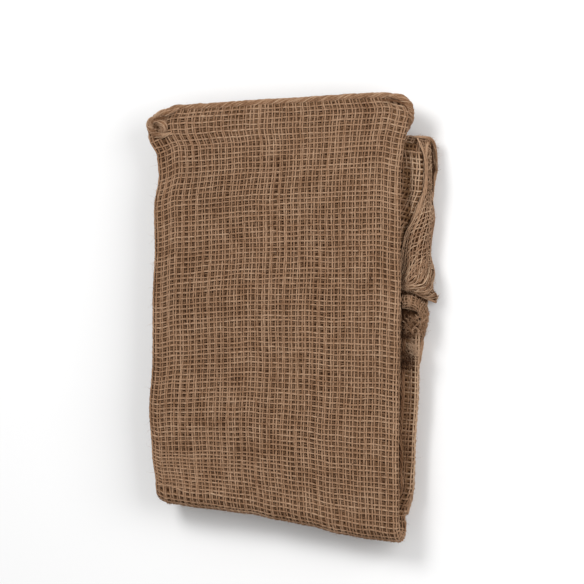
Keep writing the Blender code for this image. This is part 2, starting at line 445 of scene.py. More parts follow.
class Gathered:
    """Many shapes gathered into one mesh."""

    def __init__(self):
        self.vertices, self.faces, self.uvs, self.tones = [], [], [], []
        self.count = 0

    def take(self, places, faces, uvs, tones):
        """Add a shape's vertices, its faces, and the UVs and tones of its vertices."""
        self.faces.append(faces + self.count)
        self.vertices.append(places.reshape(-1, 3))
        self.uvs.append(uvs.reshape(-1, 2))
        self.tones.append(tones)
        self.count += len(tones)

    def piece(self, name, material, slot="jute_cloth", node="sack_cloth"):
        """The finished piece."""
        parts = (self.vertices, self.faces, self.uvs, self.tones)
        thing = make_mesh(name, *(np.concatenate(part) for part in parts))
        return finish_piece(thing, material, node)


class Yarns(Gathered):
    """Tubes along many paths."""

    def __init__(self, sides):
        super().__init__()
        self.sides = sides

    def add(self, path, normals, radius, tone, flatness=STRAND_FLATNESS):
        """One yarn along a path, with flat ends where it has more than three sides."""
        points, sides = len(path), self.sides
        if points < 2:
            return
        along = unit(np.gradient(path, axis=0))
        side = unit(np.cross(along, normals))
        up = np.cross(side, along)
        share = np.arange(sides) / sides
        turn = 2 * np.pi * share[:, None]
        ring = np.cos(turn) * side[:, None] + flatness * np.sin(turn) * up[:, None]
        places = path[:, None] + np.broadcast_to(radius, points)[:, None, None] * ring
        length = lengths_along(path)[:, None] * YARN_UV_SCALE
        uv = np.stack(np.broadcast_arrays(length, share), -1)
        index = np.arange(points * sides).reshape(points, sides)
        faces = [bridge(index[:-1], index[1:])]
        for k in range(1, sides - 2, 2):
            faces += [index[:1, [0, k + 2, k + 1, k]], index[-1:, [0, k, k + 1, k + 2]]]
        tones = np.repeat(np.broadcast_to(tone, points), sides)
        self.take(places, np.concatenate(faces), uv, tones)

    def add_fuzzy(self, path, normals, radius, tone):
        """One yarn on which loose fibres stand."""
        self.add(path, normals, radius, tone)
        FUZZ.append((path, normals))


# Paths and normals of the yarns off the folds, on which loose fibres stand
FUZZ = []


# ---- materials
def srgb(red, green, blue):
    """Linear colour from one on the photo's 0 to 255 scale."""
    values = np.array((red, green, blue)) / 255
    return tuple(np.where(values <= 0.04045, values / 12.92, ((values + 0.055) / 1.055) ** 2.4))


class Material:
    """A material with its nodes."""

    def __init__(self, name, roughness):
        self.data = bpy.data.materials.new(name)
        self.data.use_nodes = True
        self.tree = self.data.node_tree
        self.shader = self.tree.nodes["Principled BSDF"]
        self.feed(self.shader, {"Roughness": roughness, "Specular IOR Level": 0.1})

    def feed(self, node, inputs):
        """Give a node's inputs their values, or links from other nodes' outputs."""
        for name, value in inputs.items():
            if isinstance(value, bpy.types.NodeSocket):
                self.tree.links.new(value, node.inputs[name])
            else:
                node.inputs[name].default_value = value

    def add(self, kind, output, inputs=None, **settings):
        """One output of a new node."""
        node = self.tree.nodes.new("ShaderNode" + kind)
        for name, value in settings.items():
            setattr(node, name, value)
        self.feed(node, inputs or {})
        return node.outputs[output]

    def uv(self):
        return self.add("UVMap", "UV", uv_map="UVMap")

    def tone(self):
        return self.add("Attribute", "Fac", attribute_name="tone")

    def noise(self, place, scale, detail):
        return self.add("TexNoise", "Fac", {"Vector": place, "Scale": scale, "Detail": detail})

    def math(self, operation, *values):
        return self.add("Math", 0, dict(enumerate(values)), operation=operation)

    def ramp(self, source, *stops):
        """Colours at positions of a source."""
        colour = self.add("ValToRGB", "Color", {"Fac": source})
        elements = colour.node.color_ramp.elements
        while len(elements) < len(stops):
            elements.new(0.5)
        for element, (position, *rgb) in zip(elements, stops):
            element.position = position
            element.color = (*srgb(*rgb), 1.0)
        return colour

    def finish(self, colour, height, strength, distance):
        """The material with its colour and its bump."""
        bump = self.add("Bump", "Normal", {
            "Height": height, "Strength": strength, "Distance": distance})
        self.feed(self.shader, {"Base Color": colour, "Normal": bump})
        return self.data


def yarn_material():
    """Loosely twisted jute: tone from yarn to yarn, slow changes along it, fine fibres."""
    jute = Material("jute_yarn", 0.9)
    stretched = jute.add("Mapping", "Vector", {
        "Vector": jute.uv(), "Scale": (3.0, 9.0, 1.0), "Rotation": (0.0, 0.0, 0.35)})
    fibres = jute.noise(stretched, 2.2, 4.0)
    patches = jute.noise(jute.add("TexCoord", "Object"), 55.0, 3.0)
    fine = jute.math("MULTIPLY_ADD", fibres, 0.66, -0.03)
    grain = jute.math("ADD", fine, jute.math("MULTIPLY", patches, 0.40))
    colour = jute.ramp(
        jute.math("ADD", grain, jute.tone()), (0.02, 52, 30, 18), (0.20, 99, 68, 46),
        (0.42, 139, 106, 80), (0.58, 159, 127, 101), (0.82, 180, 151, 124))
    return jute.finish(colour, fibres, 0.5, 0.0004)


def base_material():
    """The cloth seen through the gaps of the yarns above it: a weave in dark colours, painted
    shade deep in the gaps.
    """
    cloth = Material("jute_cloth", 0.95)
    uv = cloth.uv()
    noise = cloth.noise(uv, 60.0, 3.0)
    threads = []
    for axis, pitch in (("X", WARP_PITCH), ("Y", WEFT_PITCH)):
        metres = cloth.add("SeparateXYZ", axis, {"Vector": uv})
        turns = cloth.math("MULTIPLY", metres, 2 * np.pi / pitch)
        phase = cloth.math("ADD", turns, cloth.math("MULTIPLY", noise, 9.0))
        threads.append(cloth.math("SINE", phase))
    weave = cloth.math("MAXIMUM", *threads)
    shaded = cloth.math("ADD", cloth.math("MULTIPLY_ADD", weave, 0.5, 0.5), cloth.tone())
    # Dark colours: painted shade of the cloth deep in the gaps between the yarns
    colour = cloth.ramp(shaded, (0.15, 60, 36, 20), (0.55, 90, 61, 38), (0.95, 120, 89, 62))
    return cloth.finish(colour, weave, 0.8, 0.0006)


# ---- base cloth
# Steps in each stretch round the tube and in each stage along it
ROUND_STEPS = (4, 26, 10, 26, 6, 26, 6, 26, 10, 26, 6, 26, 4)
STAGE_STEPS = (36, 12, 30, 12, 30)


def metres(positions, lengths):
    """Metres at positions counted in stretches of given lengths."""
    return np.interp(positions, np.arange(len(lengths) + 1), totals(lengths))


def make_base_cloth(material):
    """Thin closed wall just inside the yarns, on all the folds of the sack."""
    around = stations(0, *enumerate(ROUND_STEPS, 1))[:-1]
    stages = stations(0, *enumerate(STAGE_STEPS, 1))
    stages[-1] -= 1e-6
    grid = np.meshgrid(around, stages)
    walls = [on_cloth(*grid, BASE_SETBACK), on_cloth(*grid, BASE_SETBACK - BASE_THICKNESS)]
    index = np.arange(grid[0].size).reshape(grid[0].shape)
    below = index + index.size
    outer = bridge(index[:-1], index[1:])
    faces = [outer, outer[:, ::-1] + index.size, bridge(index[-1], below[-1]),
             bridge(below[0], index[0])]
    uv = np.meshgrid(metres(around, STRETCH_LENGTHS), metres(stages, STAGE_LENGTHS))
    uv = np.stack(uv, -1).reshape(-1, 2)
    cloth = make_mesh("sack_base_cloth", np.stack(walls).reshape(-1, 3),
                      np.concatenate(faces), np.concatenate([uv, uv]))
    return finish_piece(cloth, material, "sack_cloth")


# ---- woven yarns
def spaced(lengths, first, last, pitch, pair=0.0):
    """Positions of yarns laid side by side, as stretches and shares of them."""
    start, stop = metres((first, last), lengths)
    count = int((stop - start) / pitch)
    places = spread(start, stop, count) + rng.normal(0, PITCH_ERROR * pitch, count)
    places += np.resize((pair, -pair), count)
    return np.interp(places, totals(lengths), np.arange(len(lengths) + 1))


WARPS = spaced(STRETCH_LENGTHS, 0, 13, WARP_PITCH, PAIR_SHIFT)
WEFTS = spaced(STAGE_LENGTHS, 0.004, 4.995, WEFT_PITCH)
WEFTS = np.concatenate([END_WEFTS[:1], WEFTS, END_WEFTS[1:]])
OVER = checker(len(WARPS), len(WEFTS))


def crossing_grid():
    """Position round the tube and stage along it of every crossing of the yarns."""
    warps, wefts = OVER.shape
    position, stage = np.meshgrid(WARPS, WEFTS, indexing="ij")
    stretch = np.floor(position).astype(int)
    leg = np.clip(np.floor(stage), 0, 4).astype(int)
    slow, quick = WARP_DRIFT
    drift = wander(warps, wefts, 6, slow) + rng.normal(0, quick, OVER.shape)
    position = position + drift / STRETCH_LENGTHS[stretch]
    slow, quick = WEFT_DRIFT
    drift = wander(wefts, warps, 5, slow).T + rng.normal(0, quick, OVER.shape)
    drift += wander(1, warps, 90, WEFT_BEND).T
    stage = stage + drift / STAGE_LENGTHS[leg]
    across = np.where(stretch == 1, position - stretch, stretch > 1)
    sag = np.interp(stage, *WEFT_SAG.T) * (1 - np.clip(across, 0, 1)) ** 1.5
    front = (leg == 0) & (stretch <= 2)
    stage = np.where(front, stage + sag / STAGE_LENGTHS[0], stage)
    stage[:, 0], stage[:, -1] = END_WEFTS
    return position, np.clip(stage, *STAGE_LIMITS)


def lay(position, stage, lift, crimp):
    """Places of the warps and wefts at their crossings, and the normals there."""
    warps = on_cloth(position, stage, lift + crimp * OVER)
    wefts = on_cloth(position, stage, lift - crimp * OVER)
    normals = on_cloth(position, stage, lift + MILLIMETRE) - on_cloth(position, stage, lift)
    return warps, wefts, normals


def wander_both(step, size):
    """Smooth random values at the crossings, along the warps and along the wefts."""
    warps, wefts = OVER.shape
    return wander(warps, wefts, step, size), wander(wefts, warps, step, size).T


POSITION, STAGE = crossing_grid()
UPPER = lay(POSITION, STAGE, YARN_LIFT, CRIMP)


def yarn_tones():
    """Tones of the warps and of the wefts at the crossings."""
    warp, weft = (rng.normal(*tone, count) for tone, count in zip(YARN_TONES, OVER.shape))
    slow = wander_both(14, SLOW_TONE)
    quick = [rng.normal(0, QUICK_TONE, OVER.shape) for _ in slow]
    # Painted shade deep in the crease of the middle run, and painted light out to its right edge
    shade = np.interp(UPPER[0][..., 0] - SHIFT[0], *CREASE_SHADE_AND_LIGHT.T)
    shade = np.where((STAGE > 2) & (STAGE < 3), shade, 0)
    # Each yarn is painted paler where it lies on top and darker where it dips under: painted
    # light and shade
    return (warp[:, None] + slow[0] + quick[0] + CRIMP_LIGHT_AND_SHADE * OVER + shade,
            weft + slow[1] + quick[1] - CRIMP_LIGHT_AND_SHADE * OVER + shade)


def under_slip():
    """How far the lower weave is out of step with the upper one, as shares of a stretch."""
    slow = wander(*OVER.shape, 18, 1.0)
    slow = sum(np.roll(slow, shift, 0) for shift in range(-2, 3)) / 5
    return (0.5 * WARP_PITCH + UNDER_WANDER * slow) / STRAIGHT


TONES = yarn_tones()
RADII = [radius * (1 + swelling)
         for radius, swelling in zip((WARP_RADIUS, WEFT_RADIUS), wander_both(5, SWELLING))]
SLIP = under_slip()
UNDER_STAGE = np.clip(STAGE + SLIP, *STAGE_LIMITS)
LOWER = lay(POSITION + SLIP, UNDER_STAGE, UNDER_LIFT, UNDER_CRIMP)


def region(*areas):
    """Crossings inside any of several areas: first and last position, first and last stage."""
    inside = np.zeros(OVER.shape, bool)
    for low, high, start, stop in areas:
        wrapped = np.mod(WARPS - low, 13.0) <= (high - low)
        inside |= wrapped[:, None] & ((WEFTS >= start) & (WEFTS <= stop))[None]
    return inside


FRONT = region((-1.02, 3.03, 0.0, 2.03))
FLANKS = region(
    (1.94, 3.03, 0.0, 5.0), (1.94, 3.15, 1.9, 4.1), (-1.02, 1.02, 0.0, 5.0),
    (5.98, 7.02, 0.0, 5.0), (6.98, 7.14, 2.5, 3.1), (7.97, 9.03, 0.0, 5.0),
)
BACK = region((5.98, 9.03, 2.97, 5.0))
UNDER = region((0.1, 2.0, 0.0, 1.3), (2.0, 2.9, 0.0, 1.1))

# Warps in their order round the tube, from just before the front's first one
ROUND_ORDER = np.argsort(np.mod(WARPS + 1.1, 13.0), kind="stable")


def stretches(mask):
    """First and last index of each unbroken stretch of a row of yes and no."""
    edges = np.flatnonzero(np.diff(np.concatenate([[0], mask.astype(int), [0]])))
    return zip(edges[::2], edges[1::2])


def weave(name, mask, sides, material, layer=UPPER, size=1.0, shade=0.0):
    """Warps and wefts of one region, as two pieces."""
    pieces = []
    for kind, places, radii, tones in zip(("warps", "wefts"), layer, RADII, TONES):
        grids = mask, places, layer[2], size * radii, shade + tones
        if kind == "wefts":
            grids = [grid[ROUND_ORDER].swapaxes(0, 1)[1:-1] for grid in grids]
        yarns = Yarns(sides)
        for row in zip(*grids):
            for start, stop in stretches(row[0]):
                yarns.add(*(values[start:stop] for values in row[1:]), FLATNESS)
        pieces.append(yarns.piece(f"{name}_{kind}", material))
    return pieces


# ---- side seam
SEAM_RADIUS = 0.0013
SEAM_GAP = 0.0003
ROPE_STRANDS = 4
ROPE_STRAND_RADIUS = 0.00062
ROPE_STRAND_REACH = 0.00078
ROPE_TURN = 0.019

# Tones of the side seam, darker with painted shade deep in the crease of the middle run: stage,
# tone
SIDE_SEAM_SHADE_TONES = np.array(((2.0, 0.02), (2.1, -0.30), (2.75, -0.30), (2.88, 0.02)))


def make_side_seam(material):
    """Loosely twisted strands along the open selvedges, round all the folds."""
    stage = stations(0.014, (1, 129), (2, 15), (3, 119), (4, 19), (4.999, 119))
    _, right, set_back = strip_edges(stage)
    x = right - set_back + SEAM_GAP + SEAM_RADIUS
    depth = np.full(len(stage), (layer_depth(4) + layer_depth(5)) / 2)
    path = fold_strip(stage, x, depth) + SHIFT
    tones = np.interp(stage, *SIDE_SEAM_SHADE_TONES.T)
    yarns = Yarns(6)
    along = unit(np.gradient(path, axis=0))
    side = unit(np.cross(along, UP))
    up = np.cross(side, along)
    for strand in range(ROPE_STRANDS):
        phase = 2 * np.pi * (strand / ROPE_STRANDS + lengths_along(path) / ROPE_TURN)
        phase = (phase + wave(path, 12, 0.5))[:, None]
        reach = ROPE_STRAND_REACH * (1 + wave(path, 9, 0.12))[:, None]
        places = path + reach * (np.cos(phase) * side + np.sin(phase) * up)
        radius = ROPE_STRAND_RADIUS * (1 + wave(path, 6, 0.12))
        yarns.add(places, up, radius, tones + rng.normal(0, 0.05))
    yarns.piece("side_seam_yarns", material, "seam_yarn", "side_seam")


# ---- bound edges
# How strands are wound: count, length of a turn, radius, looseness, tone
Winding = namedtuple("Winding", "count turn radius loose shade", defaults=(1.0, 0.0))
SEAM_WINDING = Winding(11, 0.026, 0.00046)
EAR_WINDING = Winding(17, 0.028, 0.00038, 2.4, 0.10)
CORNER_WINDING = Winding(11, 0.019, 0.00044, 1.4)
TOP_WINDING = Winding(9, 0.05, 0.00040)
# Painted shade: the cores under the wound strands are darker, so that the gaps between the
# strands read dark
CORE_SHADE = -0.20
CORE_SHARE = 0.88
STRAND_REACH = (-0.25, 0.08)
ROLL_STEP = 0.0011

# The bound seam's half width and depth, and how much nearer to the cloth it lies than
# the solid one
SEAM_WIDE = 0.0024
SEAM_DEEP = 0.00165
SEAM_INSET = 0.0006

# Knot of gathered cloth at the sack's left bottom corner, a roll after another: pixel
# across, pixel down, height, half width
EAR = (
    ((161.5, 131.8, 36.5, 1.6), (163.6, 128.6, 37.5, 2.3), (163.4, 124.6, 38, 2.8),
     (160.4, 121.2, 38, 3), (155.6, 119.4, 37, 3.2), (151.3, 120.4, 35.5, 3.5),
     (149.9, 124.6, 34.5, 3.7), (151.5, 129.8, 35, 3.4), (155, 133.2, 36.5, 2.7),
     (160, 134.8, 38, 2.1), (165.5, 134, 37.5, 1.5), (171, 131.5, 35.5, 0.6)),
    ((152.6, 117.5, 36, 1.3), (156.5, 115.2, 37, 2.1), (160.6, 113, 37.5, 2.8),
     (166, 111.4, 37.5, 2.9), (172.5, 109.4, 36, 2), (179.5, 107.4, 34, 0.7)),
    ((155.6, 121, 36, 1.6), (159.6, 122.4, 36.6, 2.6), (162, 125.6, 36.8, 2.9),
     (161.4, 129.4, 36.6, 2.4), (158.6, 131.4, 36.2, 1.4)),
)

# Bound edge of the lower layers, at the right end of the bottom seam
RIGHT_CORNER = (
    (388, 98, 33.5, 1.4), (394, 98.7, 33, 2.2), (400, 100.2, 32.5, 2.7),
    (405, 104, 30.5, 3), (408.3, 109.5, 28, 3), (409.3, 116, 25.5, 2.8),
    (409, 122.5, 23.5, 2.4), (407, 128.5, 21.5, 1.9), (404, 134, 19.5, 1.3),
)

# Rounded top edge of the cloth behind the front run, in the same columns
TOP_EDGE = (
    (409.5, 138.6, 19.4, 0.4), (414, 138.4, 19, 1.1), (422, 139, 16.5, 1.4),
    (428.5, 140.4, 13.5, 1.5), (432, 143.6, 11, 1.4), (433.8, 150, 9, 1.1),
    (435.2, 160, 7.5, 0.9), (435.4, 172, 6.5, 0.7),
)

# Painted shadow: dark flat strands in the creases beside the bound edges: pixel across, pixel
# down, height
SHADOW_CREASES = (
    ((378, 102.2, 36), (388, 102.4, 35.2), (396, 103.6, 34), (402, 106.2, 32.8),
     (405.5, 110.5, 31), (406.5, 116, 29.4)),
    ((153, 118.6, 39.2), (157, 117.6, 39.6), (161, 117.4, 39.8), (165.5, 116.4, 39.4)),
)
SHADOW_CREASE_RADIUS = 0.0007


def even_path(points):
    """Points a step apart on a smooth curve through a few points, and their shares."""
    curve = refine(at_pixel(points), 0, 24)
    return resample(curve, max(int(lengths_along(curve)[-1] / ROLL_STEP), 4))


def bind(cores, strands, winding, path, wide, deep, side=None):
    """A core with strands wound loosely round it, along a path."""
    count, turn, thin, loose, shade = winding
    along = unit(np.gradient(path, axis=0))
    side = unit(np.cross(along, UP) if side is None else side)
    up = unit(np.cross(side, along))
    bulge = 1 + wave(path, 7, 0.05)
    cores.add(path, up, CORE_SHARE * wide * bulge, CORE_SHADE, float(np.mean(deep / wide)))
    for strand in range(count):
        phase = 2 * np.pi * (strand / count + lengths_along(path) / turn)
        phase = phase + loose * wave(path, 10, 0.22)
        reach = bulge * (1 + np.clip(loose * wave(path, 8, 0.06), *STRAND_REACH))
        x = (reach * (wide - thin) * np.cos(phase))[:, None]
        y = (reach * (deep - thin) * np.sin(phase))[:, None]
        size = thin * (1 + wave(path, 5, 0.15))
        tone = rng.normal(shade + 0.02, 0.07) + wave(path, 3, 0.07)
        outward = x * side + y * up
        strands.add(path + outward, up, size, tone)
        FUZZ.append((path + outward, outward))


def bind_roll(cores, strands, winding, table):
    """A bound roll along points with a half width each."""
    table = np.array(table)
    path, share = even_path(table[:, :3])
    wide = np.interp(share, np.linspace(0, 1, len(table)), table[:, 3]) * MILLIMETRE
    bind(cores, strands, winding, path, wide, wide)


def bottom_seam_path():
    """Along the folded edge of both cloths, just beyond the sewn end."""
    half = stations(0.6, (1, 3), (2, 109), (3, 9), (4, 109), (5, 9), (6, 109), (6.4, 3))
    stage = np.zeros(len(half))
    sides = strip_edges(stage)
    x, depth = (round_tube(half, *sides, 0.0) + round_tube(13.0 - half, *sides, 0.0)) / 2
    path = fold_strip(stage, x, depth) + SHIFT
    path[:, 1] += SEAM_RADIUS + SEAM_GAP
    return resample(path, 760)[0]


def make_bottom_seam(material):
    """Binding of the bottom seam, its knot at the left and its turn at the right."""
    cores, strands = Yarns(10), Yarns(5)
    path = bottom_seam_path() - (0, SEAM_INSET, 0)
    bind(cores, strands, SEAM_WINDING, path, SEAM_WIDE, SEAM_DEEP, np.array((0.0, 1.0, 0.0)))
    for roll in EAR:
        bind_roll(cores, strands, EAR_WINDING, roll)
    bind_roll(cores, strands, CORNER_WINDING, RIGHT_CORNER)
    # Dark flat strands as painted shadow in the creases beside the bound edges
    for crease in SHADOW_CREASES:
        curve, share = even_path(crease)
        taper = SHADOW_CREASE_RADIUS * np.sin(np.pi * np.clip(share, 0.05, 0.95)) ** 0.5
        cores.add(curve, UP, taper, tone=-0.34, flatness=0.5)
    for kind, yarns in (("cores", cores), ("strands", strands)):
        yarns.piece(f"bottom_seam_{kind}", material, "seam_yarn", "bottom_seam")


# ---- cloth off the folds
class Patch:
    """Smooth surface through rows of points, read by shares along and across it."""

    def __init__(self, rows, outward=1):
        self.grid = refine(refine(at_pixel(rows), 0, 10), 1, 10)
        self.normals = unit(np.cross(*np.gradient(self.grid, axis=(0, 1))) * outward)

    def read(self, values, u, v):
        u = np.clip(u, 0, 1) * (values.shape[0] - 1.0001)
        v = np.clip(v, 0, 1) * (values.shape[1] - 1.0001)
        i, j = u.astype(int), v.astype(int)
        s, t = (u - i)[..., None], (v - j)[..., None]
        top = values[i, j] * (1 - t) + values[i, j + 1] * t
        low = values[i + 1, j] * (1 - t) + values[i + 1, j + 1] * t
        return top * (1 - s) + low * s

    def places(self, u, v, lift):
        """Places above the surface, and its normals."""
        normals = self.read(self.normals, u, v)
        return self.read(self.grid, u, v) + normals * np.asarray(lift)[..., None], normals


class Sheets(Gathered):
    """Thin closed sheets."""

    def add(self, patch, rows, columns, tone, lift=0.0):
        """A sheet over a whole patch, of points in rows and columns."""
        u, v = np.meshgrid(np.linspace(0, 1, rows), np.linspace(0, 1, columns), indexing="ij")
        index = np.arange(u.size).reshape(rows, columns)
        outer = np.stack([index[:-1, :-1], index[:-1, 1:], index[1:, 1:], index[1:, :-1]], -1)
        outer = outer.reshape(-1, 4)
        rim = np.concatenate([index[0, :-1], index[:-1, -1], index[-1, :0:-1], index[:0:-1, 0]])
        faces = [outer, outer[:, ::-1] + u.size, bridge(rim + u.size, rim)]
        walls = [patch.places(u, v, level)[0] for level in (lift, lift - SHEET_THICKNESS)]
        uv = np.stack([v * columns, u * rows], -1) * SHEET_UV_STEP
        self.take(np.stack(walls), np.concatenate(faces), np.stack([uv, uv]),
                  np.full(2 * u.size, tone))


def weave_patch(yarns, patch, lines, crossings, radius, slack, front=((0, 1), (0, 1)),
                reach=1.0, late=0.0, shade=0.0):
    """Yarns both ways on a patch.

    lines are the places across it of the yarns along it. front gives, for shares of the
    patch's length at its far side, where the yarns across it start at its near side.
    reach is the share of its length that is woven, and every second yarn along it
    starts at the share late of that.
    """
    starts = spread(0, 1, crossings) + rng.normal(0, 0.12 / crossings, crossings)
    starts = reach * starts
    share = lines[:, None] ** 0.8
    u = np.interp(starts, *front) * (1 - share) + starts * share
    count = len(lines)
    drift = wander(count, crossings, 5, 0.004) + wander(crossings, count, 4, 0.004).T
    u = u + slack * drift
    v = lines[:, None] + slack * wander(count, crossings, 6, 0.010)
    over = checker(count, crossings)
    along, normals = patch.places(u, v, YARN_LIFT + CRIMP * over)
    across = patch.places(u, v, YARN_LIFT - CRIMP * over)[0]
    room = np.linalg.norm(along[-1] - along[0], axis=-1) / count
    fitted = radius * np.clip(room / (3.2 * radius), 0.62, 1)
    skipped = [int(late * crossings) * (i % 2) for i in range(count)]
    runs = [(along[i, k:], normals[i, k:], fitted[k:]) for i, k in enumerate(skipped)]
    runs += [(across[:, j], normals[:, j], np.full(count, fitted[j])) for j in range(crossings)]
    for number, run in enumerate(runs):
        path, ups, thick = (refine(values, 0, 2) for values in run)
        mean = -0.02 if number < count else 0.02
        tone = rng.normal(shade + mean, 0.08) + wave(path, 18, 0.05)
        yarns.add(path, ups, thick * (1 + wave(path, 7, 0.12)), tone, FLATNESS)
        if number < count:
            FUZZ.append((path, ups))


# The mouth's corner, drawn out at the right between the folds: rows from the top down
# of pixel across, pixel down and height, from its seam to its far edge
CORNER_ROWS = (
    ((415, 140, 21), (420, 140, 19), (425, 140.5, 17), (429.4, 142, 15.5)),
    ((418.8, 148, 21.5), (422.6, 148, 20), (426.6, 149, 18), (430, 150, 16)),
    ((422, 158, 22), (424.8, 158, 20.5), (427.8, 159, 18.4), (430.2, 160, 16.5)),
    ((423.6, 174, 22), (426, 174, 20.8), (428.6, 174, 18.6), (430.4, 175, 16.5)),
    ((422.4, 189, 22), (425.4, 189, 20.8), (428.6, 189, 17.8), (430.8, 190, 15)),
    ((418.6, 205, 22), (423.2, 205, 20.8), (428.2, 205, 15.7), (431.2, 205, 10)),
    ((412, 220, 22.5), (420, 219, 21.5), (428.5, 218, 15), (433.2, 218, 5)),
    ((405, 235, 21.5), (414.5, 234, 22.5), (425.5, 233, 16), (431.5, 232, 4.5)),
    ((402, 250, 20.5), (411, 249, 22.5), (422.5, 248, 17.5), (429.5, 247, 4.5)),
    ((401, 262, 20.5), (410, 261, 23.5), (421.5, 260, 18.5), (430, 259, 5)),
    ((401, 275, 20.5), (409.5, 273, 25), (422.5, 272, 21), (433.5, 271, 6)),
    ((401, 284, 22.5), (409.5, 282, 27), (423, 283, 21.5), (431.8, 284, 6)),
    ((401.2, 286.4, 23.5), (409.8, 285.2, 27.4), (422.4, 288.2, 21.8), (432, 290.8, 6.2)),
    ((401.5, 288.4, 24), (410, 287.8, 27.5), (421.5, 293.4, 21), (436.4, 297, 5.6)),
    ((401.5, 289.4, 22), (410, 290.2, 25.5), (420.5, 296.2, 18.5), (434.6, 302.4, 4.6)),
)

# The rolled hem of the mouth, in an arch below the corner: rows along it, from its
# outer to its inner edge
HEM_ROWS = (
    ((400, 292.5, 19.5), (400, 298, 25.5), (400, 304, 26.5), (400, 309, 22.5)),
    ((407.5, 292.5, 19.5), (407.5, 298, 26.5), (407.5, 304, 27.5), (407.5, 309.5, 23)),
    ((414, 294.5, 18.5), (413, 299.5, 26), (412.5, 305, 27), (412.5, 310.5, 22.5)),
    ((420.5, 299, 15), (418.5, 303, 22.5), (417, 308, 24.5), (416.5, 313, 21.5)),
    ((426, 305.5, 9), (423, 308.5, 17.5), (420.5, 312, 21.5), (418.5, 316.5, 20.5)),
    ((428, 313, 6.5), (425.5, 315, 14), (422.5, 317.5, 19), (419.5, 320, 19.5)),
    ((427, 322, 5.5), (424.5, 323, 12.5), (421.5, 324, 18), (418.5, 325, 19.5)),
    ((425, 331, 4), (422.5, 331, 10.5), (419, 330, 16.5), (415.5, 329.5, 20)),
    ((423, 341, 1), (419, 340, 6), (414.5, 337.5, 13), (410.5, 334.5, 18)),
)

# Loose cloth inside the arch, its sheet dark with painted shade: rows from the top down
POCKET_ROWS = (
    ((400.5, 306, 21), (406.5, 307, 21.5), (412.5, 308, 21), (418.5, 312, 18)),
    ((400.5, 314, 20.8), (407, 315, 21), (413.5, 316, 20.8), (420.5, 319, 17)),
    ((400.5, 321, 21.2), (407, 322, 22), (413.5, 322, 21.8), (420.5, 324, 17)),
    ((400.5, 328, 21.4), (406.5, 328, 22.6), (412, 328, 22), (417.5, 330, 19)),
    ((400.5, 335, 20.4), (405, 335, 21.4), (410, 334, 21.4), (414.5, 333, 19.5)),
)

# Painted shade: a dark sheet deep in the gap above the hem: rows from its left end
SHADOW_GROOVE_ROWS = (
    ((400, 288, 23.5), (400, 294.5, 23)),
    ((409, 288.5, 23.5), (408, 295, 23)),
    ((416, 291.5, 21), (414.5, 297, 20.5)),
    ((421.5, 295.5, 17.5), (420, 300, 17)),
    ((426, 300, 12), (424.5, 304, 11.5)),
)

# Painted shadow: a dark sheet in the slit between the corner and the cloth behind it: rows from
# the top down
SHADOW_SLIT_ROWS = (
    ((430, 146, 14.4), (431.2, 146, 12.6)),
    ((430.2, 158, 14.4), (431.9, 158, 12.6)),
    ((430.4, 165, 14.4), (432.8, 165, 12.6)),
    ((430.5, 171, 14.4), (433.8, 171, 12.6)),
    ((430.8, 178, 14.4), (432.4, 178, 12.6)),
    ((431, 192, 13.5), (432.2, 192, 12)),
    ((431.2, 206, 12), (431.8, 206, 11)),
)

# Hollow in the middle of the knot, a sheet dark with painted shade: rows from the top down
EAR_HOLLOW = (
    ((153, 122, 37.2), (157, 122.5, 37.4), (160.5, 123.5, 37.2)),
    ((152.5, 127, 37), (157, 127.5, 36.8), (160.5, 127.5, 37)),
    ((154, 132, 37.2), (157.5, 132.5, 37), (160.5, 132, 37)),
)

# Shares of the corner's length at its far side, and where the yarns that end there
# start at its near side
GATHERED_FRONT = ((0.0, 0.25, 0.55, 0.80, 1.0), (0.0, 0.27, 0.68, 0.92, 1.0))

# Yarns of the corner gathered up to its hem: share along and across at their start,
# share along and across at their end, bow
GATHERS = (
    (0.740, 0.03, 0.600, 0.36, 0.02), (0.790, 0.02, 0.610, 0.52, 0.03),
    (0.830, 0.03, 0.625, 0.66, 0.04), (0.870, 0.02, 0.640, 0.80, 0.05),
    (0.910, 0.03, 0.660, 0.90, 0.06), (0.950, 0.03, 0.650, 0.62, 0.05),
    (0.980, 0.03, 0.690, 0.74, 0.05), (0.970, 0.06, 0.700, 0.90, 0.06),
    (0.985, 0.09, 0.715, 0.86, 0.05), (0.960, 0.08, 0.735, 0.93, 0.06),
    (0.985, 0.13, 0.760, 0.93, 0.04), (0.975, 0.12, 0.785, 0.95, 0.05),
    (0.985, 0.19, 0.815, 0.95, 0.04), (0.965, 0.17, 0.845, 0.96, 0.04),
    (0.985, 0.27, 0.875, 0.97, 0.03), (0.980, 0.23, 0.900, 0.98, 0.03),
    (0.985, 0.36, 0.930, 0.98, 0.02), (0.680, 0.10, 0.900, 0.04, -0.02),
    (0.700, 0.30, 0.880, 0.20, -0.03), (0.690, 0.66, 0.800, 0.50, 0.01),
)
GATHER_OFFSETS = (-0.015, -0.005, 0.005, 0.015)
GATHER_RADIUS = 0.00031
GATHER_LIFT = 0.0008

# Loops of thin yarn across the opening of the arch: pixels across and down
NET = (
    ((403, 326), (408, 321.5), (413, 317.5), (418, 316)),
    ((402, 329), (407.5, 324), (413, 319.5), (419, 316.5)),
    ((403, 334), (409, 330), (414.5, 325), (419.5, 320)),
    ((404.5, 318), (407.5, 321), (411.5, 324.5), (416, 328.5)),
    ((410, 316), (412.5, 318.5), (415, 322), (418.5, 326)),
    ((402, 321), (405, 324.5), (408.5, 328.5), (412.5, 333)),
    ((403, 331.5), (406.5, 328), (410.5, 329.5), (411.5, 333.5)),
    ((410, 334), (412, 328.5), (416, 329), (416.5, 333.5)),
    ((414, 314), (415.5, 317.5), (418, 320.5), (420, 324)),
)
NET_RADIUS = 0.00028
NET_HEIGHT = 23.2
NET_EDGE = 411
NET_FALL = 0.12

